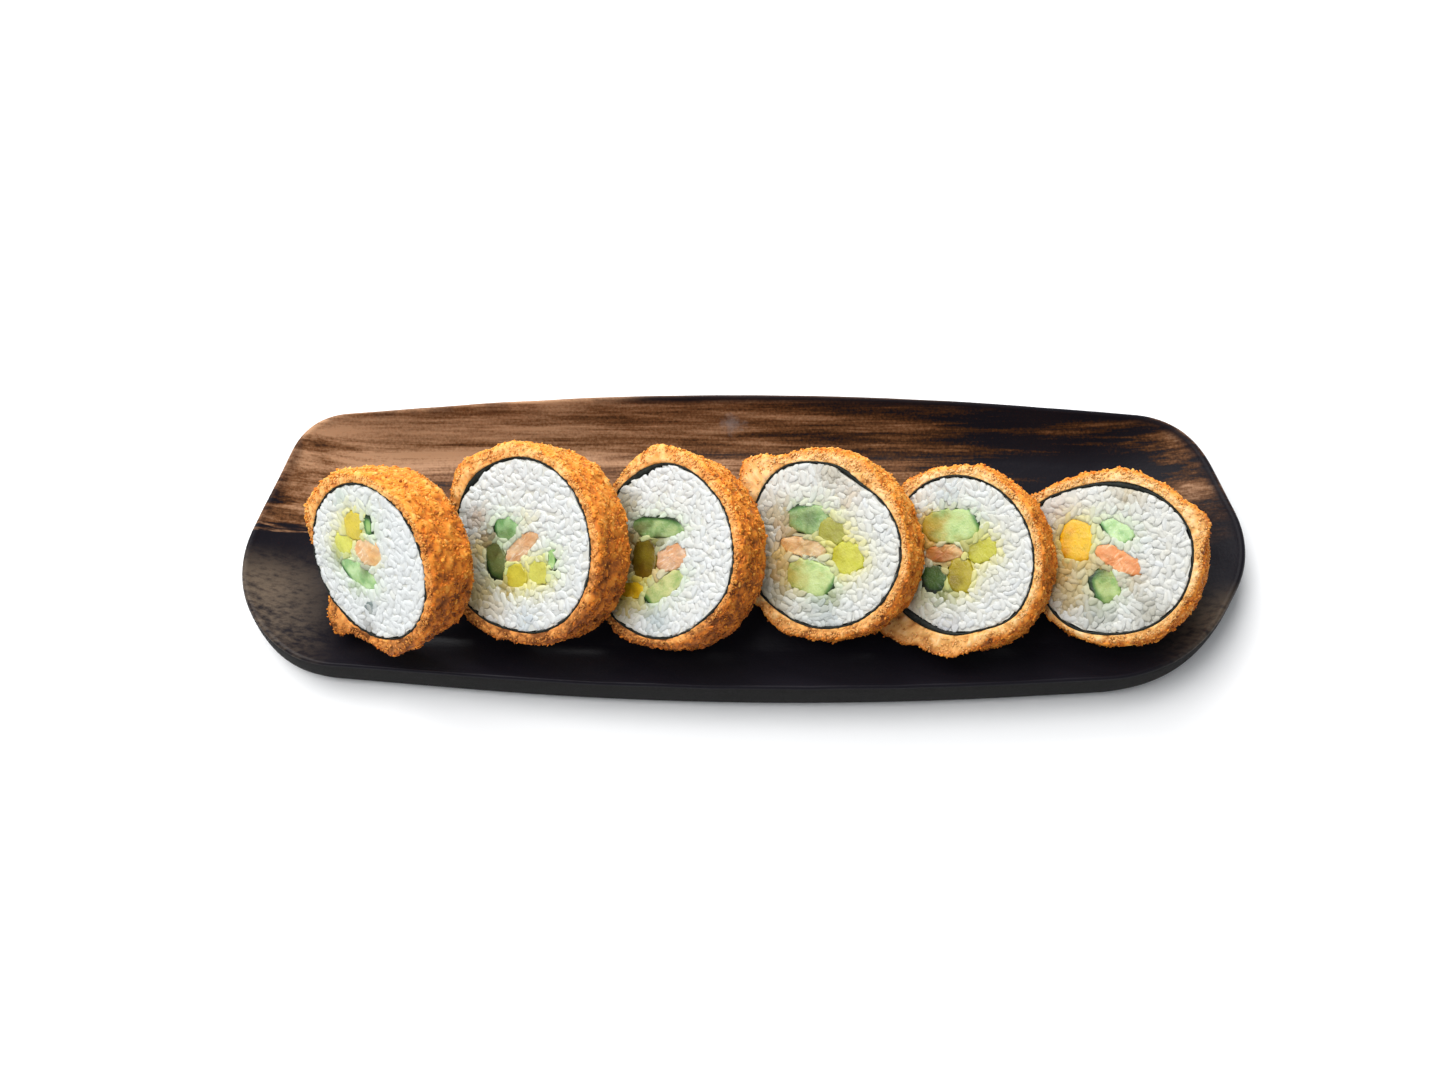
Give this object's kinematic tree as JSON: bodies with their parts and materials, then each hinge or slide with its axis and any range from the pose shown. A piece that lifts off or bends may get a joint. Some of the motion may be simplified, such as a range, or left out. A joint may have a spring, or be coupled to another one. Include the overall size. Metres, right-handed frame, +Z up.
{
  "type": "plate of crunchy roll",
  "caption": "Long shallow glazed plate with slices of crisp-fried rice roll leaning on each other along it, cut faces up.",
  "frame": {"origin": "centre of the plate's box on the surface it stands on", "axes": "+X along the plate to the right, +Y to the back, +Z up"},
  "size_m": [0.2742, 0.0854, 0.0522],
  "materials": {
    "glaze": "glossy dark glaze with brown streaks",
    "crust": "rough fried crumb",
    "seaweed": "thin dark sheet, slightly moist",
    "rice": "moist cooked grains",
    "cucumber": "moist pale flesh with green skin",
    "takuan": "moist translucent yellow",
    "salmon": "cooked flaky fish"
  },
  "bodies": {
    "root": {"plate": "glaze", "crust_1": "crust", "nori_1": "seaweed", "rice_1": "rice", "takuan_a_1": "takuan", "cucumber_a_1": "cucumber", "takuan_b_1": "takuan", "salmon_1": "salmon", "cucumber_b_1": "cucumber", "crust_2": "crust", "nori_2": "seaweed", "rice_2": "rice", "cucumber_a_2": "cucumber", "cucumber_b_2": "cucumber", "salmon_2": "salmon", "takuan_a_2": "takuan", "takuan_b_2": "takuan", "cucumber_c_2": "cucumber", "crust_3": "crust", "nori_3": "seaweed", "rice_3": "rice", "cucumber_a_3": "cucumber", "takuan_a_3": "takuan", "salmon_3": "salmon", "takuan_b_3": "takuan", "cucumber_b_3": "cucumber", "crust_4": "crust", "nori_4": "seaweed", "rice_4": "rice", "cucumber_a_4": "cucumber", "takuan_a_4": "takuan", "takuan_b_4": "takuan", "salmon_4": "salmon", "cucumber_b_4": "cucumber", "crust_5": "crust", "nori_5": "seaweed", "rice_5": "rice", "cucumber_a_5": "cucumber", "takuan_a_5": "takuan", "takuan_b_5": "takuan", "cucumber_b_5": "cucumber", "salmon_5": "salmon", "crust_6": "crust", "nori_6": "seaweed", "rice_6": "rice", "takuan_a_6": "takuan", "cucumber_a_6": "cucumber", "salmon_6": "salmon", "cucumber_b_6": "cucumber"}
  },
  "joints": []
}
